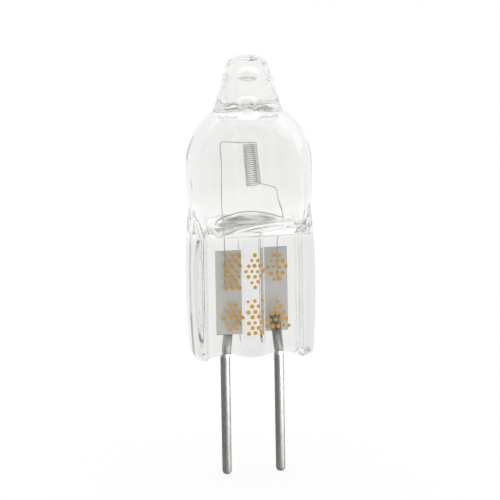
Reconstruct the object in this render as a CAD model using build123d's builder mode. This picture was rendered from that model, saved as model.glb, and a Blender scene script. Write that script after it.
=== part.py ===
from build123d import *
from math import acos, asin, cos, degrees, radians, sin, sqrt, tan
import os

os.makedirs("parts", exist_ok=True)

# Halogen capsule lamp with two base pins, in millimetres.
# Z runs up the lamp from the plane that seats on the holder; the printed face looks along -Y.

# Base pins
pin_spacing = 4.0
pin_dia = 0.70
pin_reach = 8.7  # below the seat plane
pin_sunk = 3.05  # above the seat plane, sealed in the glass
pin_tip_chamfer = 0.12
weld_flat = 0.03  # coined off the pin where the foil is welded on

# Foils
foil_width = 2.0
foil_height = 6.25
foil_thickness = 0.03
foil_foot = 1.85
foil_shift = 0.3  # towards the middle, from the pin's outlet

# Filament
wire_side = 0.078
coil_dia = 1.0  # to the middle of the wire
coil_turns = 15
coil_pitch = 0.20
coil_tilt = 4.5
coil_foot = (0.33, 12.8)  # x, z of the axis at the lowest turn
leg_bend = 0.22
leg_stub = 0.45  # straight run off the coil, at each end
left_leg_rise = 0.2  # from the coil's end to the corner over the left foil
right_leg_drop = 0.4
right_leg_reach = 0.2  # outwards, from the pin's outlet to the corner below the coil
right_leg_bow = 0.6  # outwards, where it meets the gas space's floor
bow_height = 10.1
lead_end = 5.6
lead_flat = 0.008  # pressed into the wire where it is welded to the foil
left_entry = 9.25  # heights where the legs are straight in the glass
right_entry = 8.7

# Press seal
seal_half_width = 4.62
seal_waist = 4.25  # half width where the bulb takes over
panel_thickness = 1.8
rail_thickness = 3.0
rail_width = 1.1
rail_edge = 0.6
rail_brow = 0.3
rail_root = 0.2
rib_thickness = 2.7
rib_width = 1.44
rib_edge = 0.12
press_draft = 12
panel_top = 9.1
lobe_drop = 0.36  # lobes hang this far below the pins' outlets
foot_taper = 0.2
foot_round = 0.75
foot_edge = 0.55
foot_trim = 0.15  # pressed below the seat plane, then melted off

# Bulb
bulb_dia = 9.15
wall = 0.9
dome_centre = 14.4
belly_height = 13.5
neck_height = 11.8
neck_loss = 0.12  # off the radius between belly and neck
jaw_slope = 11  # of the shoulders, from level
jaw_round = 1.4
floor_height = 9.75  # of the gas space, at the middle of its floor
floor_bow = 6.5  # radius of the floor, which rises to the front and back
floor_half_width = 2.65
wall_foot = 11.8  # where the gas space reaches its full width

# Exhaust nub
nub_foot_dia = 5.08
nub_top = 22.35
nub_lean = 16  # of its sides, from upright
crown_round = 0.6
throat_dia = 0.9
throat_top = 19.3
bubble_dia = 1.3
bubble_height = 20.85

pin_x = pin_spacing / 2
pin_radius = pin_dia / 2
foil_x = pin_x - foil_shift
foil_face = pin_radius - weld_flat
bulb_radius = bulb_dia / 2
inner_radius = bulb_radius - wall
neck_radius = bulb_radius - neck_loss
panel_half = panel_thickness / 2
rail_half = rail_thickness / 2
rib_half = rib_thickness / 2


def contact_pin(side, foil_side):
    """A pin on one side, bent in at the seal to reach the middle of its foil, with a flat for the weld."""
    with BuildPart() as pin:
        with BuildLine() as run:
            Polyline((side * pin_x, 0, -pin_reach), (side * pin_x, 0, 0), (side * foil_x, 0, pin_sunk))
        with BuildSketch(Plane.XY.offset(-pin_reach)):
            with Locations((side * pin_x, 0)):
                Circle(pin_radius)
        sweep(path=run.line, transition=Transition.RIGHT)
        chamfer(pin.edges().sort_by(Axis.Z)[0], pin_tip_chamfer)
        with BuildSketch(Plane.XY.offset(foil_foot)):
            with Locations((side * foil_x, foil_side * (foil_face + pin_radius / 2))):
                Rectangle(foil_width, pin_radius)
        extrude(amount=foil_height, mode=Mode.SUBTRACT)
    return pin


def seal_foil(side, foil_side):
    """A thin foil standing in the seal, on one face of its pin."""
    with BuildPart() as foil:
        with BuildSketch(Plane.XZ.offset(-foil_side * foil_face)):
            with Locations((side * foil_x, foil_foot + foil_height / 2)):
                Rectangle(foil_width, foil_height)
        extrude(amount=-foil_side * foil_thickness)
    return foil


left_pin = contact_pin(-1, -1)
right_pin = contact_pin(1, 1)
left_foil = seal_foil(-1, -1)
right_foil = seal_foil(1, 1)

# The coil stands a little askew; both its ends are at the back.
coil_axis = Vector(-sin(radians(coil_tilt)), 0, cos(radians(coil_tilt)))
coil_plane = Plane((coil_foot[0], 0, coil_foot[1]), x_dir=(0, 1, 0), z_dir=coil_axis)

with BuildPart() as coil:
    with BuildLine() as turns:
        upright_turns = Helix(coil_pitch, coil_pitch * coil_turns, coil_dia / 2, mode=Mode.PRIVATE)
        add(coil_plane.location * upright_turns)
    with BuildSketch(Plane(turns.line @ 0, x_dir=(0, 1, 0), z_dir=turns.line % 0)):
        Rectangle(wire_side, wire_side)
    sweep(path=turns.line, is_frenet=True)

coil_start = turns.line @ 0
coil_end = turns.line @ 1
lead_rest = wire_side / 2 - lead_flat
left_lead_y = -(foil_face + foil_thickness + lead_rest)
right_lead_y = foil_face - lead_rest


def filament_leg(foil, *points):
    """A leg bent from the coil's wire, lying on its foil at the lower end."""
    with BuildPart() as leg:
        with BuildLine() as route:
            FilletPolyline(*points, radius=leg_bend)
        with BuildSketch(Plane(route.line @ 0, x_dir=(0, 1, 0), z_dir=route.line % 0)):
            Rectangle(wire_side, wire_side)
        sweep(path=route.line)
        add(foil.part, mode=Mode.SUBTRACT)
    return leg


left_leg = filament_leg(
    left_foil,
    coil_end,
    coil_end + (turns.line % 1) * leg_stub,
    (-pin_x, coil_dia / 2, coil_end.Z + left_leg_rise),
    (-pin_x, left_lead_y, left_entry),
    (-pin_x, left_lead_y, lead_end),
)
right_leg = filament_leg(
    right_foil,
    coil_start,
    coil_start - (turns.line % 0) * leg_stub,
    (pin_x + right_leg_reach, coil_dia / 2, coil_start.Z - right_leg_drop),
    (pin_x + right_leg_bow, right_lead_y, bow_height),
    (pin_x, right_lead_y, right_entry),
    (pin_x, right_lead_y, lead_end),
)

with BuildPart() as filament:
    add(coil.part)
    add(left_leg.part)
    add(right_leg.part)


# The bulb's foot: a round tube with its front and back folded in by the jaws.
with BuildPart() as shoulders:
    with BuildSketch(Plane.XY.offset(panel_top)):
        Circle(neck_radius)
    extrude(amount=neck_height - panel_top)
    with BuildSketch(Plane.YZ) as fold:
        with BuildLine():
            bend_height = panel_top + (neck_radius - panel_half) * tan(radians(jaw_slope))
            fold_top = max(neck_height, bend_height) + jaw_round
            for side in (-1, 1):
                Polyline(
                    (0, panel_top),
                    (side * panel_half, panel_top),
                    (side * neck_radius, bend_height),
                    (side * neck_radius, fold_top),
                    (0, fold_top),
                )
        make_face()
        fillet(fold.vertices().filter_by(lambda v: abs(v.Y - bend_height) < 0.01), jaw_round)
    extrude(amount=bulb_dia, both=True, mode=Mode.INTERSECT)


# The gas space: a tube with a vaulted top and a stub of the throat, over a bowed floor with raised ends.
with BuildPart() as gas:
    with BuildSketch(Plane.XZ):
        with BuildLine():
            throat = throat_dia / 2
            vault = CenterArc((0, dome_centre), inner_radius, 0, degrees(acos(throat / inner_radius)))
            Polyline(vault @ 1, (throat, throat_top), (0, throat_top), (0, floor_height))
            Polyline((0, floor_height), (inner_radius, floor_height), vault @ 0)
        make_face()
    revolve(axis=Axis.Z)
    with BuildSketch(Plane.YZ):
        with BuildLine():
            half_turn = degrees(asin(inner_radius / floor_bow))
            floor = CenterArc((0, floor_height + floor_bow), floor_bow, -90 - half_turn, 2 * half_turn)
            Polyline(floor @ 0, (-inner_radius, throat_top), (inner_radius, throat_top), floor @ 1)
        make_face()
    extrude(amount=inner_radius, both=True, mode=Mode.INTERSECT)
    with BuildSketch(Plane.XZ):
        with BuildLine():
            for side in (-1, 1):
                foot = (side * floor_half_width, floor_height)
                brow = (side * inner_radius, wall_foot)
                Line((0, floor_height), foot)
                TangentArc(brow, foot, tangent=(0, -1))
                Polyline(brow, (side * inner_radius, throat_top), (0, throat_top))
        make_face()
    extrude(amount=inner_radius, both=True, mode=Mode.INTERSECT)


with BuildPart() as envelope:
    # The press jaws' section: rails at the sides, panels over the foils, a rib between them.
    with BuildSketch() as section:
        with BuildLine():
            rib_foot = rib_width / 2 + (rib_half - panel_half) * tan(radians(press_draft))
            rail_top = seal_half_width - rail_width
            rail_foot = rail_top - (rail_half - panel_half) * tan(radians(press_draft))
            Polyline(
                (0, rib_half),
                (rib_width / 2, rib_half),
                (rib_foot, panel_half),
                (rail_foot, panel_half),
                (rail_top, rail_half),
                (seal_half_width, rail_half),
                (seal_half_width, 0),
            )
            mirror(about=Plane.XZ)
            mirror(about=Plane.YZ)
        make_face()
        corners = section.vertices()
        fillet(corners.filter_by(lambda v: abs(abs(v.X) - seal_half_width) < 0.01), rail_edge)
        fillet(corners.filter_by(lambda v: abs(abs(v.X) - rail_top) < 0.01), rail_brow)
        fillet(corners.filter_by(lambda v: abs(abs(v.X) - rail_foot) < 0.01), rail_root)
        fillet(corners.filter_by(lambda v: abs(abs(v.X) - rib_width / 2) < 0.01), rib_edge)
    extrude(amount=neck_height)
    extrude(section.sketch, amount=-foot_trim)

    # The seal's front outline, narrowing to the bulb above.
    with BuildSketch(Plane.XZ) as outline:
        with BuildLine():
            foot_x = seal_half_width - foot_taper
            for side in (-1, 1):
                foot = (side * foot_x, foot_round)
                heel = (side * (foot_x - foot_round), -foot_trim)
                TangentArc(foot, heel, tangent=(0, -1))
                Spline(foot, (side * seal_half_width, neck_height / 2), (side * seal_waist, neck_height))
                Line(heel, (0, -foot_trim))
            Line((-seal_waist, neck_height), (seal_waist, neck_height))
        make_face()
    extrude(amount=rail_thickness, both=True, mode=Mode.INTERSECT)

    # The lower edge: melted round on the rails, and wavy with its hollows at the pins.
    with BuildSketch(Plane.YZ) as side_view:
        with Locations((0, (neck_height - foot_trim) / 2)):
            Rectangle(rail_thickness, neck_height + foot_trim)
        fillet(side_view.vertices().group_by(Axis.Y)[0], foot_edge)
    extrude(amount=bulb_dia, both=True, mode=Mode.INTERSECT)
    with BuildSketch(Plane.XZ):
        with BuildLine():
            for lobe in range(-2, 3):
                left = ((lobe - 0.5) * pin_x, lobe_drop / 2)
                right = ((lobe + 0.5) * pin_x, lobe_drop / 2)
                SagittaArc(left, right, lobe_drop / 2 if lobe % 2 else -lobe_drop / 2)
            end = 2.5 * pin_x
            Polyline((-end, lobe_drop / 2), (-end, -foot_edge), (end, -foot_edge), (end, lobe_drop / 2))
        make_face()
    extrude(amount=rail_thickness, both=True, mode=Mode.SUBTRACT)

    # Bulb and exhaust nub.
    with BuildSketch(Plane.XZ) as shell:
        with BuildLine():
            nub_foot = nub_foot_dia / 2
            nub_foot_height = dome_centre + sqrt(bulb_radius**2 - nub_foot**2)
            crown = nub_foot - (nub_top - nub_foot_height) * tan(radians(nub_lean))
            neck = (neck_radius, neck_height)
            Polyline((0, neck_height), neck, (bulb_radius, belly_height), (bulb_radius, dome_centre))
            dome = CenterArc((0, dome_centre), bulb_radius, 0, degrees(acos(nub_foot / bulb_radius)))
            Polyline(dome @ 1, (crown, nub_top), (0, nub_top), (0, neck_height))
        make_face()
        fillet(shell.vertices().filter_by(lambda v: abs(v.X - crown) < 0.01), crown_round)
    revolve(axis=Axis.Z)

    # Shoulders, where the jaws fold the round bulb down to the panels.
    add(shoulders.part)

    # The gas space, and the bubble that the melted nub has closed in.
    add(gas.part, mode=Mode.SUBTRACT)
    with Locations((0, 0, bubble_height)):
        Sphere(bubble_dia / 2, mode=Mode.SUBTRACT)

    # The metal that the glass was pressed around.
    for piece in (left_pin, right_pin, left_foil, right_foil, left_leg, right_leg):
        add(piece.part, mode=Mode.SUBTRACT)

nodes = {
    "quartz_envelope": envelope,
    "filament": filament,
    "left_foil": left_foil,
    "right_foil": right_foil,
    "left_pin": left_pin,
    "right_pin": right_pin,
}
for name, node in nodes.items():
    node.part.label = name
    export_step(node.part, f"parts/{name}.step")
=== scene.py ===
from math import acos, cos, pi, radians, sin, sqrt, tan

import bpy
import numpy as np
from mathutils import Matrix, Vector


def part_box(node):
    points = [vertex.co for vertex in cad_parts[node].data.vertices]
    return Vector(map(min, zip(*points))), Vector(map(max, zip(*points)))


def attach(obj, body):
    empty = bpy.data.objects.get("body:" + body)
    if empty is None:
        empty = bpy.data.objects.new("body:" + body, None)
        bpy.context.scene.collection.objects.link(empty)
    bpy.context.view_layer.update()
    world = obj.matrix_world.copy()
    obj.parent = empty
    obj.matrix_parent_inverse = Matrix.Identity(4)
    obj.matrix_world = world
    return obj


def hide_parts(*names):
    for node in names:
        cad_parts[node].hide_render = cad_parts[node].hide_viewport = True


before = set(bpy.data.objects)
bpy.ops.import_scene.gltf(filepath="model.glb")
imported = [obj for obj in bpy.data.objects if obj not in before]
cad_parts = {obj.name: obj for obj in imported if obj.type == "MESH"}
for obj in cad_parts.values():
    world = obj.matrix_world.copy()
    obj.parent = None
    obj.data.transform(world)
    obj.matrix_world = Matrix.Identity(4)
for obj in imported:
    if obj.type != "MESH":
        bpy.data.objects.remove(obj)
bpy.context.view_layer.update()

MM = 0.001

# Sizes of the lamp in millimetres. The frame gives the ones that its solids span.
_, envelope_high = (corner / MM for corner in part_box("quartz_envelope"))
pin_low, pin_high = (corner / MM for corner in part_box("right_pin"))
right_foil_low, right_foil_high = (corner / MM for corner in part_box("right_foil"))
left_foil_low, left_foil_high = (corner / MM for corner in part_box("left_foil"))

# Base pins. The tip's profile gives rises above its end, and the share of the radius there.
PIN_RADIUS = (pin_high.y - pin_low.y) / 2
PIN_X = pin_high.x - PIN_RADIUS
PIN_TIP = pin_low.z
PIN_TIP_PROFILE = [(0.0, 0.40), (0.04, 0.62), (0.10, 0.81), (0.20, 0.95), (0.32, 1.0)]
PIN_BEND_FOOT = -0.25
PIN_BEND = 2.5
PIN_END = pin_high.z - 0.035
PIN_SIDES = 48

# Foils, and the flats on the pins that they are welded to.
FOIL_X = (right_foil_low.x + right_foil_high.x) / 2
FOIL_FEATHER = 0.2
FOIL_EDGE = 0.25
WELD_FOOT = right_foil_low.z
WELD_LAP = 0.15

# Press seal: panel, rails, middle rib and the lobed foot.
SEAL_HALF = envelope_high.x
SEAL_WAIST = 4.25
PANEL_HALF = 0.9
PANEL_TOP = 9.1
RAIL_HALF = 1.5
RAIL_INNER = 3.45
RAIL_EDGE = 0.6
RAIL_DRAFT = 0.126
RIB_HALF = 1.35
RIB_EDGE = 0.77
RIB_DRAFT = 0.09
RIB_END = 0.7
RIB_FOOT = 1.9
FOOT_TAPER = 0.2
FOOT_ROUND = 0.75
FOOT_EDGE = 0.45
LOBE_DROP = 0.36
LOBE_FADE = 2.5

# Blown bulb.
BULB_RADIUS = envelope_high.y
WALL = 0.9
INNER_RADIUS = BULB_RADIUS - WALL
NECK_RADIUS = BULB_RADIUS - 0.12
NECK_HEIGHT = 11.8
BELLY_FOOT = NECK_HEIGHT - 1
BELLY_HEIGHT = 13.5
DOME_CENTRE = 14.4

# Fold from the seal to the bulb: where it lies, and how softly its forms run together.
FOLD_LOW = PANEL_TOP - 1
FOLD_HIGH = NECK_HEIGHT + 1.5
FOLD_BLEND = 0.12
SIDE_FOLD_LOW = PANEL_TOP - 0.6
SIDE_FOLD_HIGH = NECK_HEIGHT + 0.5
SIDE_BLEND = 0.05
JAW_SLOPE = radians(11)
JAW_BLEND = 0.6
JAW_WALL = 0.2

# Gas space and its floor.
FLOOR_HEIGHT = 9.45
FLOOR_BOW = 6.5
FLOOR_MIDDLE = 0.1
FLOOR_HALF_WIDTH = 3.35
FLOOR_HALF_DEPTH = 3.4
FLOOR_TILT = 0.12
FLOOR_BLEND = 0.15
WALL_FOOT = 11.8
THROAT = 0.45
THROAT_TOP = 19.3
THROAT_BEND = 0.17

# Painted reflection on the floor of the gas space: a silvery lens-shaped patch.
LENS_MIDDLE = 0.2
LENS_HALF_WIDTH = 3.1
LENS_DEPTH = 3.4
LENS_FRONT = 0.1
LENS_CURVE = 0.16
LENS_SLANT = 0.1

# Exhaust nub and the bubble in it.
NUB_FOOT = 2.54
NUB_TOP = envelope_high.z
NUB_LEAN = radians(16)
NUB_ROOT_BEND = 0.27
CROWN_BEND = 0.75
CROWN_DROP = 0.1
BUBBLE_RADIUS = 0.6
BUBBLE_STRETCH = 0.85
BUBBLE_HEIGHT = 20.85

# Filament: coil, legs and the leads on the foils.
WIRE_RADIUS = 0.037
WIRE_SIDES = 10
COIL_RADIUS = 0.5
COIL_TURNS = 20
COIL_TURN_STEPS = 28
COIL_PITCH = 0.15
COIL_TILT = radians(4.5)
COIL_FOOT = Vector((0.33, 0, 12.8))
LEG_BEND = 0.22
LEG_STUB = 0.45
RIGHT_ENTRY = 8.7
RIGHT_BOW = 0.6
RIGHT_BOW_HEIGHT = 10.1
RIGHT_REACH = 0.2
RIGHT_DROP = 0.4
LEFT_ENTRY = 9.25
LEFT_RISE = 0.2
LEAD_END = 5.6
LEAD_FLAT = 0.004

# Printed dots. Each ring of a dot has a share of its radius, and a height above the glass.
DOT_RADIUS = 0.148
DOT_SIZES = 0.75, 1.1
DOT_JITTER = 0.035
DOT_RINGS = (1.0, -0.03), (1.0, 0.006), (0.82, 0.016), (0.4, 0.02)
DOT_TOP = 0.021
DOT_SIDES = 18

# Points of the glass's rings. Half a front has its points close together on the flanks of rib and
# rail and round the rail's edge. In the seal, the ones further out follow its width.
SIDE_POINTS = 13
GAS_POINTS = 160
FLOOR_RINGS = 26
POLE_GAP = 0.08
RIB_FLANK = 0.6, 0.95
PANEL_FOLLOWS = 2.6
RAIL_FLANK = 3.25, 3.65
FRONT_END = SEAL_HALF - FOOT_TAPER
FRONT_EDGE = FRONT_END - RAIL_EDGE
HALF_FRONT = np.concatenate(
    [
        np.linspace(0, RIB_FLANK[0], 7),
        np.linspace(*RIB_FLANK, 19)[1:],
        np.linspace(RIB_FLANK[1], RAIL_FLANK[0], 20)[1:],
        np.linspace(*RAIL_FLANK, 15)[1:],
        np.linspace(RAIL_FLANK[1], FRONT_EDGE, 4)[1:],
        FRONT_EDGE + RAIL_EDGE * np.sin(np.linspace(0, pi / 2, 12))[1:],
    ]
)

# Fixed values of the glass's shader.
QUARTZ = {"Roughness": 0.0, "IOR": 1.458, "Transmission Weight": 1.0}


class Value:
    """One output of a shader node. Arithmetic on it adds Math nodes."""

    def __init__(self, graph, socket):
        self.graph = graph
        self.socket = socket

    def math(self, operation, *others):
        inputs = dict(enumerate((self, *others)))
        return self.graph.node("Math", {"operation": operation}, inputs)

    def __add__(self, other):
        return self.math("ADD", other)

    __radd__ = __add__

    def __sub__(self, other):
        return self.math("SUBTRACT", other)

    def __rsub__(self, other):
        return self.graph.node("Math", {"operation": "SUBTRACT"}, {0: other, 1: self})

    def __mul__(self, other):
        return self.math("MULTIPLY", other)

    __rmul__ = __mul__

    def clamp(self):
        """The value, kept between 0 and 1."""
        settings = {"operation": "ADD", "use_clamp": True}
        return self.graph.node("Math", settings, {0: self, 1: 0.0})

    def above(self, edge, spread):
        """Goes smoothly from 0 to 1 as the value passes the edge."""
        settings = {"interpolation_type": "SMOOTHSTEP"}
        return self.graph.node("MapRange", settings, {0: self, 1: edge - spread, 2: edge + spread})


class Graph:
    """A node tree that is written as expressions."""

    def __init__(self, tree):
        self.tree = tree
        tree.nodes.clear()

    def node(self, kind, settings=None, inputs=None, output=0):
        node = self.tree.nodes.new("ShaderNode" + kind)
        for key, value in (settings or {}).items():
            setattr(node, key, value)
        for key, value in (inputs or {}).items():
            if isinstance(value, Value):
                self.tree.links.new(value.socket, node.inputs[key])
            else:
                node.inputs[key].default_value = value
        return Value(self, node.outputs[output]) if node.outputs else None

    def place(self, stretch=(1, 1, 1)):
        """A point of the piece in millimetres, stretched along its axes."""
        point = self.node("TexCoord", output="Object")
        scale = [s / MM for s in stretch]
        return self.node("VectorMath", {"operation": "MULTIPLY"}, {0: point, 1: scale})

    def parts(self, vector, *axes):
        """What a vector is along the given axes."""
        return [self.node("SeparateXYZ", None, {0: vector}, output=axis) for axis in axes]

    def noise(self, stretch, detail):
        """Cloudy noise about 0.5, with so many periods per millimetre along the axes."""
        inputs = {"Vector": self.place(stretch), "Scale": 1.0, "Detail": detail, "Roughness": 0.5}
        return self.node("TexNoise", None, inputs)

    def tint(self, factor, low, high):
        inputs = {0: factor, 6: (*low, 1), 7: (*high, 1)}
        return self.node("Mix", {"data_type": "RGBA"}, inputs, output=2)

    def bump(self, height, distance):
        inputs = {"Height": height, "Distance": distance * MM, "Strength": 1.0}
        return self.node("Bump", None, inputs)


def finish_material(name, fixed, varying):
    """A material with fixed values on the shader's sockets and varying ones from a function."""
    material = bpy.data.materials.new(name)
    material.use_nodes = True
    graph = Graph(material.node_tree)
    surface = graph.node("BsdfPrincipled", None, {**fixed, **varying(graph)})
    graph.node("OutputMaterial", None, {"Surface": surface})
    return material


def clear_quartz():
    """Clear glass, greyer on the bulb's outer side and where rails and rib make the seal thick,
    with painted light: a lighter band at the shoulders.
    """

    def varying(g):
        streaks = g.noise((1.6, 1.6, 0.12), 2.0)
        ripple = g.noise((0.8, 0.8, 0.18), 1.0)
        crinkle = g.noise((0.9, 0.9, 0.9), 1.0) - 0.5
        x, height = g.parts(g.place(), "X", "Z")
        across = x.math("ABSOLUTE")
        off_axis = g.place((1, 1, 0))
        from_axis = g.node("VectorMath", {"operation": "LENGTH"}, {0: off_axis}, output="Value")
        rise = height.math("MAXIMUM", DOME_CENTRE) - DOME_CENTRE
        from_core = (from_axis * from_axis + rise * rise).math("SQRT")
        blown = height.above(PANEL_TOP, 0.5)
        skin_side = blown * from_core.above(BULB_RADIUS - WALL / 2, 0.2)
        off_rib = across.above(RIB_EDGE, 0.1)
        on_rail = across.above(RAIL_INNER, 0.1)
        thick = (1.0 - blown) * (1.0 - off_rib + on_rail)
        # Painted light: the shoulders between seal and neck are made clearer, as a lighter band.
        shoulder_painted_light = blown - height.above(NECK_HEIGHT, 0.6)
        nub = height.above(DOME_CENTRE + BULB_RADIUS, 0.4)
        inside = nub * (1.0 - from_axis.above(2 * THROAT, 0.1))
        seal_shade = streaks * 0.6 - thick * 0.22
        bulb_shade = blown * 0.75 - skin_side * 0.6 + shoulder_painted_light * 0.5 + nub * 0.2 + inside * 0.6
        shade = (seal_shade + bulb_shade).clamp()
        return {
            "Base Color": g.tint(shade, (0.76, 0.77, 0.745), (0.97, 0.975, 0.96)),
            "Normal": g.bump(ripple + nub * crinkle * 5.0, 0.035),
        }

    return finish_material("clear_quartz", QUARTZ, varying)


def painted_reflection_quartz():
    """Floor of the gas space, with a painted reflection: behind a curved front edge the glass under
    it is a grey, half-metallic patch that mirrors like silver, with a painted dark outline and a
    painted highlight band.
    """

    def varying(g):
        x, y = g.parts(g.place(), "X", "Y")
        off = x - LENS_MIDDLE
        inwards = 1.0 - off * off * LENS_HALF_WIDTH**-2 - y * y * LENS_DEPTH**-2
        from_rim = LENS_DEPTH / 2 * inwards
        from_front = y - LENS_FRONT - off * off * LENS_CURVE - off * LENS_SLANT
        # Painted reflection: a grey, half-metallic patch inside the rim and behind the curved front
        # edge.
        painted_reflection_mask = from_rim.above(0.0, 0.05) * from_front.above(0.1, 0.2)
        # Painted dark outline just inside the rim, then a painted highlight band.
        inside_painted_outline = from_rim.above(0.13, 0.05)
        painted_highlight = inside_painted_outline - from_rim.above(0.45, 0.15)
        streaks = g.noise((0.7, 1.6, 1.6), 3.0).above(0.5, 0.2)
        # Clear outside the patch; inside it, painted dark outline, painted highlight band and
        # streaky grey painted reflection.
        shade = (1.0 - painted_reflection_mask) + painted_reflection_mask * (painted_highlight * 0.6 + inside_painted_outline * (0.02 + streaks * 0.48))
        return {
            "Base Color": g.tint(shade.clamp(), (0.12, 0.12, 0.115), (0.92, 0.925, 0.91)),
            "Metallic": painted_reflection_mask * 0.45,
        }

    return finish_material("painted_reflection_quartz", QUARTZ, varying)


def drawn_pin_metal():
    """Drawn wire, dull in the open and at the weld, with painted light where it is sunk in the
    glass: lighter there, in bright streaks.
    """

    def varying(g):
        grain = g.noise((9, 9, 0.5), 3.0)
        stain = g.noise((0.5, 0.5, 0.35), 2.0)
        speckle = g.noise((5, 5, 3), 3.0).above(0.5, 0.2)
        (height,) = g.parts(g.place(), "Z")
        # Painted light: the part sunk in the glass is lighter, in streaks, and less so above the
        # weld foot.
        painted_light_sunk = height.above(0.1, 0.2) - height.above(WELD_FOOT, 0.4) * 0.7
        streaks = g.noise((2.6, 2.6, 0.4), 2.0).above(0.5, 0.08)
        bright = stain * 0.2 + speckle * 0.083 + painted_light_sunk * (0.3 + streaks * 0.5)
        return {
            "Base Color": g.tint(bright.clamp(), (0.115, 0.113, 0.106), (0.46, 0.458, 0.448)),
            "Roughness": 0.28 + grain * 0.12,
            "Normal": g.bump(grain, 0.012),
        }

    return finish_material("drawn_pin_metal", {"Metallic": 1.0}, varying)


def satin_foil():
    """Pale rolled foil with a fine grain and a cloudy sheen."""

    def varying(g):
        grain = g.noise((5, 5, 5), 4.0)
        sheen = g.noise((0.6, 0.6, 0.4), 2.0)
        return {
            "Base Color": g.tint(sheen, (0.74, 0.73, 0.69), (0.88, 0.87, 0.83)),
            "Roughness": 0.38 + grain * 0.2,
            "Normal": g.bump(grain, 0.01),
        }

    return finish_material("satin_foil", {"Metallic": 1.0}, varying)


def grey_tungsten():
    """Grey wire with a fine grain."""

    def varying(g):
        grain = g.noise((12, 12, 12), 2.0)
        return {
            "Base Color": g.tint(grain, (0.56, 0.55, 0.51), (0.74, 0.73, 0.69)),
            "Roughness": 0.3 + grain * 0.2,
        }

    return finish_material("grey_tungsten", {"Metallic": 1.0}, varying)


def amber_ink():
    """Amber ink, a little cloudy."""

    def varying(g):
        cloud = g.noise((3, 3, 3), 3.0)
        return {
            "Base Color": g.tint(cloud, (0.56, 0.275, 0.022), (0.74, 0.405, 0.042)),
            "Roughness": 0.45 + cloud * 0.25,
            "Normal": g.bump(cloud, 0.02),
        }

    return finish_material("amber_ink", {"IOR": 1.45}, varying)


def white_floor():
    """Pale matt floor, white in the picture, in gloss and through glass, with a soft shadow."""
    material = bpy.data.materials.new("white_floor")
    material.use_nodes = True
    g = Graph(material.node_tree)
    rays = ("Is Camera Ray", "Is Glossy Ray", "Is Transmission Ray")
    camera_ray, glossy_ray, transmission_ray = (g.node("LightPath", output=ray) for ray in rays)
    shown = (camera_ray + glossy_ray + transmission_ray).clamp()
    speckle = g.noise((0.02, 0.02, 0.02), 2.0)
    pale = g.tint(speckle, (0.92, 0.92, 0.92), (0.94, 0.94, 0.94))
    matt = g.node("BsdfDiffuse", None, {"Color": pale})
    glow = g.node("Emission", None, {"Color": (1, 1, 1, 1), "Strength": 1.0})
    surface = g.node("MixShader", None, {0: shown * 0.8, 1: matt, 2: glow})
    g.node("OutputMaterial", None, {"Surface": surface})
    return material


def new_piece(name, points, faces, material):
    """A smooth mesh piece from points in millimetres."""
    mesh = bpy.data.meshes.new(name)
    mesh.from_pydata((np.asarray(points, float) * MM).tolist(), [], faces)
    mesh.polygons.foreach_set("use_smooth", [True] * len(mesh.polygons))
    mesh.materials.append(material)
    mesh.update()
    piece = bpy.data.objects.new(name, mesh)
    bpy.context.scene.collection.objects.link(piece)
    return piece


def ring_faces(rings, count, start=0, flip=False):
    """Faces between rings of points that follow each other in one list."""
    faces = []
    for ring in range(rings - 1):
        low = start + ring * count
        for i in range(count):
            j = (i + 1) % count
            face = (low + i, low + j, low + count + j, low + count + i)
            faces.append(face[::-1] if flip else face)
    return faces


def fan(centre, ring, flip=False):
    """Triangles from a centre point to a ring of point numbers."""
    faces = [(centre, a, b) for a, b in zip(ring, ring[1:] + ring[:1])]
    return [face[::-1] for face in faces] if flip else faces


def ramp(x, low, high):
    """Goes smoothly from 0 to 1 between two values."""
    t = np.clip((x - low) / (high - low), 0, 1)
    return t * t * (3 - 2 * t)


def soft_max(a, b, reach):
    """The larger of two values, blended where they are about the same."""
    h = np.clip(0.5 + 0.5 * (a - b) / reach, 0, 1)
    return b + (a - b) * h + reach * h * (1 - h)


def soft_min(a, b, reach):
    """The smaller of two values, blended where they are about the same."""
    return -soft_max(-a, -b, reach)


def curve(start, corner, end, steps):
    """Points of a bend from start to end that a corner pulls at."""
    shares = [i / steps for i in range(steps + 1)]
    return [start * (1 - t) ** 2 + corner * 2 * t * (1 - t) + end * t * t for t in shares]


def bent(before, corner, after, cut, steps=8):
    """Points round a corner of an outline, from and to the given distance away from it."""
    before, corner, after = (Vector(point) for point in (before, corner, after))
    start = corner + (before - corner).normalized() * cut
    end = corner + (after - corner).normalized() * cut
    return [tuple(point) for point in curve(start, corner, end, steps)]


def arc(centre_height, radius, start, end, steps):
    """Radius and height of points on a round that is centred on the lamp's axis."""
    turns = np.linspace(start, end, steps)
    return [(radius * cos(turn), centre_height + radius * sin(turn)) for turn in turns]


def straight(start, end, steps):
    """Points between two points, without these."""
    return [tuple(Vector(start).lerp(Vector(end), i / steps)) for i in range(1, steps)]


def seal_half_width(z):
    """Half the seal's width: rounded at the foot, widest in the middle, narrow at the bulb."""
    middle = NECK_HEIGHT / 2
    if z < FOOT_ROUND:
        foot = SEAL_HALF - FOOT_TAPER
        return foot - FOOT_ROUND + sqrt(FOOT_ROUND**2 - (FOOT_ROUND - z) ** 2)
    if z > middle:
        return SEAL_HALF - (SEAL_HALF - SEAL_WAIST) * ((z - middle) / middle) ** 2
    return SEAL_HALF - FOOT_TAPER * ((middle - z) / (middle - FOOT_ROUND)) ** 2


def bulb_radius(z):
    """Radius of the blown bulb up to where its dome starts."""
    return NECK_RADIUS + (BULB_RADIUS - NECK_RADIUS) * float(ramp(z, BELLY_FOOT, BELLY_HEIGHT))


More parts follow.
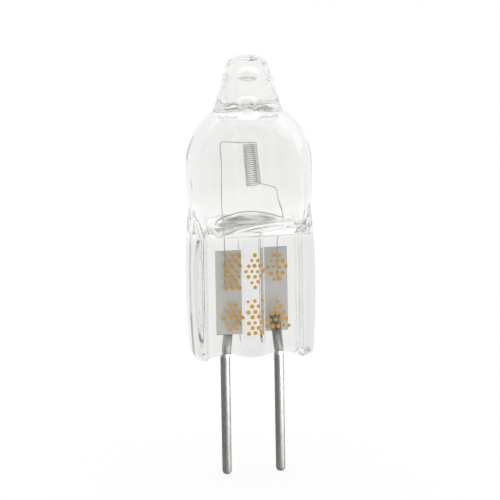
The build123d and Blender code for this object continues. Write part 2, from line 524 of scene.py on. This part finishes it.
def dome_outline():
    """Radius and height of the bulb's dome and of the nub with its melted, nearly flat top."""
    root_gap = 0.06
    innermost = 0.04
    foot_turn = acos(NUB_FOOT / BULB_RADIUS)
    foot = (NUB_FOOT, DOME_CENTRE + BULB_RADIUS * sin(foot_turn))
    crown = (NUB_FOOT - (NUB_TOP - foot[1]) * tan(NUB_LEAN), NUB_TOP - CROWN_DROP)
    dome = arc(DOME_CENTRE, BULB_RADIUS, 0, foot_turn - root_gap, 30)
    root = bent(dome[-1], foot, crown, NUB_ROOT_BEND)
    rim = bent(foot, crown, (0, crown[1]), CROWN_BEND, 14)
    reach = rim[-1][0]
    radii = np.linspace(reach, innermost, 9)[1:]
    top = [(radius, NUB_TOP - CROWN_DROP * (radius / reach) ** 2) for radius in radii]
    return dome[1:] + root + straight(root[-1], rim[0], 14) + rim + top


def vault_outline():
    """Radius and height of the upper gas space: tube, vault and the stub of the throat."""
    lip_gap = 0.05
    mouth_turn = acos(THROAT / INNER_RADIUS)
    mouth = (THROAT, DOME_CENTRE + INNER_RADIUS * sin(mouth_turn))
    vault = arc(DOME_CENTRE, INNER_RADIUS, 0, mouth_turn - lip_gap, 34)
    inside_painted_outline = bent(vault[-1], mouth, (THROAT, THROAT_TOP), THROAT_BEND)
    stub = arc(THROAT_TOP - THROAT, THROAT, 0, pi / 2 - POLE_GAP, 12)
    tube = straight((INNER_RADIUS, WALL_FOOT), vault[0], 10)
    return tube + vault + inside_painted_outline + straight(inside_painted_outline[-1], stub[0], 8) + stub


def gas_rings():
    """Rings of the gas space. Its floor is bowed up to front and back, and curves into the tube."""
    turn = np.linspace(0, 2 * pi, GAS_POINTS, endpoint=False)
    across, along = np.cos(turn), np.sin(turn)
    rings = []
    for share in (*np.linspace(0.01, 0.99, FLOOR_RINGS - 1), 1):
        x = FLOOR_MIDDLE + FLOOR_HALF_WIDTH * share * across
        y = FLOOR_HALF_DEPTH * share * along
        jaw = PANEL_TOP + (abs(y) - PANEL_HALF) * tan(JAW_SLOPE)
        inner_jaw = jaw + JAW_WALL / cos(JAW_SLOPE)
        bowed = FLOOR_HEIGHT + FLOOR_TILT * x + y**2 / (2 * FLOOR_BOW)
        rings.append((x, y, soft_max(bowed, inner_jaw, FLOOR_BLEND)))
    rim = rings[-1][2]
    for share in (0.01, *np.linspace(0.03, 1, 26)):
        width = INNER_RADIUS - (INNER_RADIUS - FLOOR_HALF_WIDTH) * (1 - share) ** 2
        depth = INNER_RADIUS - (INNER_RADIUS - FLOOR_HALF_DEPTH) * max(0, 1 - 3 * share) ** 2
        middle = FLOOR_MIDDLE * (1 - share) ** 2
        rings.append((middle + width * across, depth * along, rim + (WALL_FOOT - rim) * share))
    for radius, z in vault_outline():
        rings.append((radius * across, radius * along, np.full(GAS_POINTS, z)))
    return [np.stack(ring, 1) for ring in rings]


def bubble_rings():
    """Rings of the bubble that the melted nub has closed in."""
    turn = np.linspace(0, 2 * pi, GAS_POINTS, endpoint=False)
    rings = []
    for radius, rise in arc(0, BUBBLE_RADIUS, -pi / 2 + POLE_GAP, pi / 2 - POLE_GAP, 40):
        height = np.full(GAS_POINTS, BUBBLE_HEIGHT + BUBBLE_STRETCH * rise)
        rings.append(np.stack([radius * np.cos(turn), radius * np.sin(turn), height], 1))
    return rings


def lobes(x):
    """How far the lower edge lies above the seat plane."""
    return LOBE_DROP * (1 - np.cos(pi * x / PIN_X)) / 2


def seal_depth(x, z, width):
    """Half the thickness of the press seal at a place on its front. The rib ends above the foot."""
    x = np.abs(x)
    rib = (RIB_HALF - PANEL_HALF) * (1 - ramp(x, RIB_EDGE - RIB_DRAFT, RIB_EDGE + RIB_DRAFT))
    rib = rib * ramp(z, RIB_END, RIB_FOOT)
    rail = ramp(x, RAIL_INNER - RAIL_DRAFT, RAIL_INNER + RAIL_DRAFT) * (RAIL_HALF - PANEL_HALF)
    corner = np.clip((x - width + RAIL_EDGE) / RAIL_EDGE, 0, 1)
    edge = RAIL_HALF - RAIL_EDGE + RAIL_EDGE * np.sqrt(1 - corner**2)
    return np.minimum(PANEL_HALF + rib + rail, edge)


def seal_face(x, z):
    """How far the seal's front lies from its middle plane."""
    return float(seal_depth(np.array([x]), z, seal_half_width(z))[0])


def body_depth(x, z, width, radius):
    """Half the thickness of the whole glass body at a place on its front."""
    seal = seal_depth(x, z, width)
    if z < FOLD_LOW:
        return seal
    round_wall = np.sqrt(np.maximum(0, radius**2 - x**2))
    if z > FOLD_HIGH:
        return round_wall
    jaw = PANEL_HALF + (z - PANEL_TOP) / tan(JAW_SLOPE)
    folded = soft_min(round_wall, jaw, JAW_BLEND)
    return soft_max(seal, folded, FOLD_BLEND)


def body_ring(z, radius):
    """One ring of the outer surface, from left to right in front and back along the rear."""
    side_depth = min(RAIL_HALF - RAIL_EDGE, radius * (RAIL_HALF - RAIL_EDGE) / BULB_RADIUS)
    side_y = np.linspace(-side_depth, side_depth, SIDE_POINTS)
    seal_side = np.full(SIDE_POINTS, seal_half_width(z))
    round_side = np.sqrt(np.maximum(0, radius**2 - side_y**2))
    if z < SIDE_FOLD_LOW:
        side_x = seal_side
        follow = ramp(HALF_FRONT, PANEL_FOLLOWS, FRONT_END)
    else:
        side_x = round_side
        follow = HALF_FRONT / FRONT_END
        if z <= SIDE_FOLD_HIGH:
            side_x = soft_max(seal_side, round_side, SIDE_BLEND)
    end = side_x[0]
    half = HALF_FRONT + (end - FRONT_END) * follow
    x = np.concatenate([-half[:0:-1], half])
    depth = body_depth(x, z, end, radius)
    depth[0] = depth[-1] = side_depth
    if z < FOOT_ROUND:
        depth = depth - FOOT_EDGE + sqrt(max(0, FOOT_EDGE**2 - max(0, FOOT_EDGE - z) ** 2))
        side_y = side_y * depth[0] / side_depth
    fade = float(1 - ramp(z, 0.0, LOBE_FADE))
    height = z + lobes(x) * fade
    side_x, side_y = side_x[1:-1], side_y[1:-1]
    side_height = np.full(SIDE_POINTS - 2, z + lobes(end) * fade)
    front = np.stack([x, -depth, height], 1)
    right = np.stack([side_x, side_y, side_height], 1)
    back = np.stack([x[::-1], depth[::-1], height[::-1]], 1)
    left = np.stack([-side_x, side_y[::-1], side_height], 1)
    return np.concatenate([front, right, back, left])


def body_outline():
    """Height and bulb radius of the outer surface's rings, close together where it bends."""
    foot = FOOT_ROUND * (1 - np.cos(np.linspace(0, pi / 2, 16)))
    seal = np.linspace(FOOT_ROUND, FOLD_LOW, 26)[1:]
    fold = np.linspace(FOLD_LOW, FOLD_HIGH, 100)[1:]
    belly = np.linspace(FOLD_HIGH, DOME_CENTRE, 8)[1:]
    outline = [(z, bulb_radius(z)) for z in np.concatenate([foot, seal, fold, belly])]
    return outline + [(z, radius) for radius, z in dome_outline()]


def hollow(points, faces, rings):
    """Adds a closed hollow to the glass from its rings, the lowest first."""
    start = len(points)
    points += list(np.concatenate(rings))
    faces += ring_faces(len(rings), GAS_POINTS, start, flip=True)
    last = len(points) - GAS_POINTS
    for first, flip in ((start, False), (last, True)):
        ring = list(range(first, first + GAS_POINTS))
        points.append(np.mean([points[i] for i in ring], axis=0))
        faces += fan(len(points) - 1, ring, flip)


def quartz_glass(material, floor_material):
    """The glass body: its outer surface and, as closed shells, the gas space and the bubble."""
    rings = [body_ring(z, radius) for z, radius in body_outline()]
    count = len(rings[0])
    points = list(np.concatenate(rings))
    faces = ring_faces(len(rings), count)
    # The lowest ring is closed by faces from front to back, with one more at each side.
    front = 2 * len(HALF_FRONT) - 1
    side = SIDE_POINTS - 2
    for i in range(front - 1):
        back = front + side + front - 1 - i
        faces.append((i + 1, i, back, back - 1))
    left = (0, *range(count - 1, count - side - 1, -1), 2 * front + side - 1)
    right = (front - 1, *range(front, front + side), front + side)
    faces += [left, right[::-1]]
    points.append((0, 0, NUB_TOP))
    faces += fan(len(points) - 1, list(range((len(rings) - 1) * count, len(rings) * count)))
    floor_start = len(faces)
    floor_end = floor_start + (FLOOR_RINGS - 1) * GAS_POINTS
    hollow(points, faces, gas_rings())
    hollow(points, faces, bubble_rings())
    piece = new_piece("quartz_glass", points, faces, material)
    piece.data.materials.append(floor_material)
    for face in piece.data.polygons[floor_start:floor_end]:
        face.material_index = 1
    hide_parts("quartz_envelope")
    return piece


def rounded_route(points, bend, steps=6):
    """A route through points with each corner rounded."""
    points = [Vector(p) for p in points]
    longest_cut = 0.45
    route = [points[0]]
    for before, corner, after in zip(points, points[1:], points[2:]):
        back = (before - corner).normalized()
        on = (after - corner).normalized()
        shorter = min((before - corner).length, (after - corner).length)
        cut = min(bend / tan(back.angle(on) / 2), longest_cut * shorter)
        route += curve(corner + back * cut, corner, corner + on * cut, steps)
    route.append(points[-1])
    return route


def wire_mesh(route, radii, sides):
    """Points and faces of a round wire along a route, closed at both ends."""
    points = []
    across = (route[1] - route[0]).normalized().orthogonal().normalized()
    for i, (place, radius) in enumerate(zip(route, radii)):
        ahead = (route[min(i + 1, len(route) - 1)] - route[max(i - 1, 0)]).normalized()
        across = (across - ahead * across.dot(ahead)).normalized()
        other = ahead.cross(across)
        for k in range(sides):
            turn = 2 * pi * k / sides
            points.append(place + across * (radius * cos(turn)) + other * (radius * sin(turn)))
    faces = ring_faces(len(route), sides)
    last = (len(route) - 1) * sides
    for place, first, flip in ((route[0], 0, True), (route[-1], last, False)):
        points.append(place)
        faces += fan(len(points) - 1, list(range(first, first + sides)), flip)
    return [tuple(p) for p in points], faces


def coil_route():
    """The coil's centre line, from its foot upwards."""
    axis = Vector((-sin(COIL_TILT), 0, cos(COIL_TILT)))
    rear = Vector((0, 1, 0))
    side = axis.cross(rear)
    steps = COIL_TURNS * COIL_TURN_STEPS
    route = []
    for i in range(steps + 1):
        turn = 2 * pi * COIL_TURNS * i / steps
        climb = axis * (COIL_PITCH * turn / (2 * pi))
        out = rear * (COIL_RADIUS * cos(turn))
        route.append(COIL_FOOT + climb + out + side * (COIL_RADIUS * sin(turn)))
    return route


def filament_wire(material):
    """One wire: lead, right leg, coil, left leg, lead."""
    coil = coil_route()
    start, end = coil[0], coil[-1]
    leave_start = (coil[0] - coil[1]).normalized()
    leave_end = (coil[-1] - coil[-2]).normalized()
    left_y = left_foil_low.y - WIRE_RADIUS + LEAD_FLAT
    right_y = right_foil_low.y - WIRE_RADIUS + LEAD_FLAT
    right = [
        (PIN_X, right_y, LEAD_END),
        (PIN_X, right_y, RIGHT_ENTRY),
        (PIN_X + RIGHT_BOW, right_y, RIGHT_BOW_HEIGHT),
        (PIN_X + RIGHT_REACH, COIL_RADIUS, start.z - RIGHT_DROP),
        start + leave_start * LEG_STUB,
        start,
    ]
    left = [
        end,
        end + leave_end * LEG_STUB,
        (-PIN_X, COIL_RADIUS, end.z + LEFT_RISE),
        (-PIN_X, left_y, LEFT_ENTRY),
        (-PIN_X, left_y, LEAD_END),
    ]
    route = rounded_route(right, LEG_BEND)[:-1] + coil + rounded_route(left, LEG_BEND)[1:]
    points, faces = wire_mesh(route, [WIRE_RADIUS] * len(route), WIRE_SIDES)
    piece = new_piece("filament_wire", points, faces, material)
    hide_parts("filament")
    return piece


def base_pin(side, material):
    """A round pin with a worn tip, bent inwards in the glass and flat where its foil is welded."""
    heights = [PIN_TIP + rise for rise, share in PIN_TIP_PROFILE]
    heights += [float(z) for z in np.linspace(heights[-1], PIN_BEND_FOOT, 40)[1:]]
    route = [Vector((side * PIN_X, 0, z)) for z in heights]
    sunk = [route[-1], (side * PIN_X, 0, 0), (side * FOIL_X, 0, PIN_END)]
    route += rounded_route(sunk, PIN_BEND, 8)[1:]
    radii = [PIN_RADIUS * share for rise, share in PIN_TIP_PROFILE]
    radii += [PIN_RADIUS] * (len(route) - len(radii))
    points, faces = wire_mesh(route, radii, PIN_SIDES)
    flat = left_foil_high.y if side < 0 else right_foil_low.y
    pressed = []
    for x, y, z in points:
        if z > WELD_FOOT - WELD_LAP:
            y = max(y, flat) if side < 0 else min(y, flat)
        pressed.append((x, y, z))
    name = "left_pin" if side < 0 else "right_pin"
    piece = new_piece(name + "_wire", pressed, faces, material)
    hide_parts(name)
    return piece


def seal_foil(name, low, high, material):
    """A flat foil with feathered long edges."""
    across, along = 24, 60
    middle = (low.y + high.y) / 2
    half = (high.y - low.y) / 2
    points, faces = [], []
    for sign in (-1, 1):
        for z in np.linspace(low.z, high.z, along + 1):
            for x in np.linspace(low.x, high.x, across + 1):
                u = (2 * x - low.x - high.x) / (high.x - low.x)
                edge = FOIL_EDGE + (1 - FOIL_EDGE) * min(1.0, (1 - abs(u)) / FOIL_FEATHER)
                points.append((x, middle + sign * half * edge, z))
    row = across + 1
    layer = row * (along + 1)
    for j in range(along):
        for i in range(across):
            a = j * row + i
            faces.append((a, a + 1, a + row + 1, a + row))
            faces.append((layer + a + row, layer + a + row + 1, layer + a + 1, layer + a))
    rim = list(range(across)) + [j * row + across for j in range(along)]
    rim += [along * row + i for i in range(across, 0, -1)]
    rim += [j * row for j in range(along, 0, -1)]
    for a, b in zip(rim, rim[1:] + rim[:1]):
        faces.append((b, a, layer + a, layer + b))
    piece = new_piece(name + "_strip", points, faces, material)
    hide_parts(name)
    return piece


def dot_rows(counts, gap, pitch):
    """Places of dots in rows from the top down, each row centred, with so many dots."""
    places = []
    for row, count in enumerate(counts):
        height = ((len(counts) - 1) / 2 - row) * pitch
        places += [((i - (count - 1) / 2) * gap, height) for i in range(count)]
    return places


def ink_dots(material):
    """Printed dots: two rows of three plain dotted fields on the front of the seal."""
    draw = np.random.default_rng(12)
    checker = dot_rows((3, 2, 3, 2, 3, 2, 3), 0.5, 0.40)
    hexagon = dot_rows((2, 3, 4, 3, 2), 0.44, 0.44)
    lozenge = dot_rows((1, 2, 3, 4, 3, 2, 1), 0.44, 0.40)
    triangle = dot_rows((1, 2, 3, 4, 5), 0.40, 0.46)
    fields = [
        (-1.50, 6.55, checker),
        (0.05, 6.60, lozenge),
        (1.80, 6.75, hexagon),
        (-1.50, 3.15, hexagon),
        (0.05, 3.20, checker),
        (1.80, 3.30, triangle),
    ]
    points, faces = [], []
    for centre, middle, places in fields:
        for u, v in places:
            x0 = centre + u + draw.uniform(-DOT_JITTER, DOT_JITTER)
            z0 = middle + v + draw.uniform(-DOT_JITTER, DOT_JITTER)
            radius = DOT_RADIUS * draw.uniform(*DOT_SIZES)
            start = len(points)
            for share, lift in DOT_RINGS:
                for k in range(DOT_SIDES):
                    x = x0 + radius * share * cos(2 * pi * k / DOT_SIDES)
                    z = z0 + radius * share * sin(2 * pi * k / DOT_SIDES)
                    points.append((x, -seal_face(x, z) - lift, z))
            faces += ring_faces(len(DOT_RINGS), DOT_SIDES, start)
            last = len(points) - DOT_SIDES
            for first, lift, flip in ((start, DOT_RINGS[0][1], True), (last, DOT_TOP, False)):
                points.append((x0, -seal_face(x0, z0) - lift, z0))
                faces += fan(len(points) - 1, list(range(first, first + DOT_SIDES)), flip)
    piece = new_piece("ink_dots", points, faces, material)
    return piece


def soft_room():
    """A pale studio, a little brighter behind, at the right and above."""
    world = bpy.data.worlds.new("soft_room")
    world.use_nodes = True
    bpy.context.scene.world = world
    g = Graph(world.node_tree)
    x, y, z = g.parts(g.node("TexCoord", output="Generated"), "X", "Y", "Z")
    behind = y.above(0.1, 0.5)
    right = x.above(0.35, 0.4)
    above = z.above(0.55, 0.45)
    light = 0.75 + behind * 0.25 + right * 0.1 + above * 0.2
    colour = g.node("CombineColor", None, {0: light, 1: light, 2: light * 1.02})
    glow = g.node("Background", None, {"Color": colour, "Strength": 1.0})
    g.node("OutputWorld", None, {"Surface": glow})


def softbox(name, place, aim, size, power, shines_on=()):
    """A rectangular lamp, for all pieces or only for the given ones, which alone shade it then."""
    lamp = bpy.data.lights.new(name, "AREA")
    lamp.shape = "RECTANGLE"
    lamp.size, lamp.size_y = (edge * MM for edge in size)
    lamp.energy = power
    holder = bpy.data.objects.new(name, lamp)
    holder.location = Vector(place) * MM
    holder.rotation_euler = (Vector(aim) - Vector(place)).to_track_quat("-Z", "Y").to_euler()
    bpy.context.scene.collection.objects.link(holder)
    if shines_on:
        lit = bpy.data.collections.new(name + "_lit")
        for piece in shines_on:
            lit.objects.link(piece)
        holder.light_linking.receiver_collection = lit
        holder.light_linking.blocker_collection = lit


pin_metal = drawn_pin_metal()
foil_metal = satin_foil()
pins = [base_pin(-1, pin_metal), base_pin(1, pin_metal)]
pieces = [
    *pins,
    quartz_glass(clear_quartz(), painted_reflection_quartz()),
    filament_wire(grey_tungsten()),
    seal_foil("left_foil", left_foil_low, left_foil_high, foil_metal),
    seal_foil("right_foil", right_foil_low, right_foil_high, foil_metal),
    ink_dots(amber_ink()),
]
for piece in pieces:
    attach(piece, "root")

# Floor under the pins' tips.
FLOOR_REACH = 900
corners = [(-1, -1), (1, -1), (1, 1), (-1, 1)]
floor_points = [(x * FLOOR_REACH, y * FLOOR_REACH, PIN_TIP) for x, y in corners]
floor = new_piece("floor", floor_points, [(0, 1, 2, 3)], white_floor())

# Light: the room, a broad lamp above, and a low one at the right that brings out the pins' sheen.
soft_room()
softbox("top_softbox", (0, 0, 320), (0, 0, 0), size=(300, 300), power=0.12)
softbox("low_strip", (21, -16, -14), (0, 0, -6), size=(50, 16), power=0.058, shines_on=pins)

# Camera at the photograph's angle, with a long lens.
VIEW_AZIMUTH = radians(-11)
VIEW_ELEVATION = radians(12)
VIEW_ROLL = radians(-1.0)
VIEW_DISTANCE = 480
VIEW_WIDTH = 36.36
VIEW_TARGET = Vector((-0.01, 0, 7.93))
SENSOR_WIDTH = 36

camera = bpy.data.objects.new("camera", bpy.data.cameras.new("camera"))
level = cos(VIEW_ELEVATION)
away = Vector((sin(VIEW_AZIMUTH) * level, -cos(VIEW_AZIMUTH) * level, sin(VIEW_ELEVATION)))
camera.location = (VIEW_TARGET + away * VIEW_DISTANCE) * MM
turn = (-away).to_track_quat("-Z", "Y").to_matrix() @ Matrix.Rotation(VIEW_ROLL, 3, "Z")
camera.rotation_euler = turn.to_euler()
camera.data.sensor_width = SENSOR_WIDTH
camera.data.lens = SENSOR_WIDTH * VIEW_DISTANCE / VIEW_WIDTH
camera.data.clip_start = 0.01
bpy.context.scene.collection.objects.link(camera)
bpy.context.scene.camera = camera
bpy.context.scene.view_settings.view_transform = "Standard"

# Clear glass sends light round many times before it comes out.
light_paths = bpy.context.scene.cycles
light_paths.max_bounces = light_paths.glossy_bounces = light_paths.transmission_bounces = 32
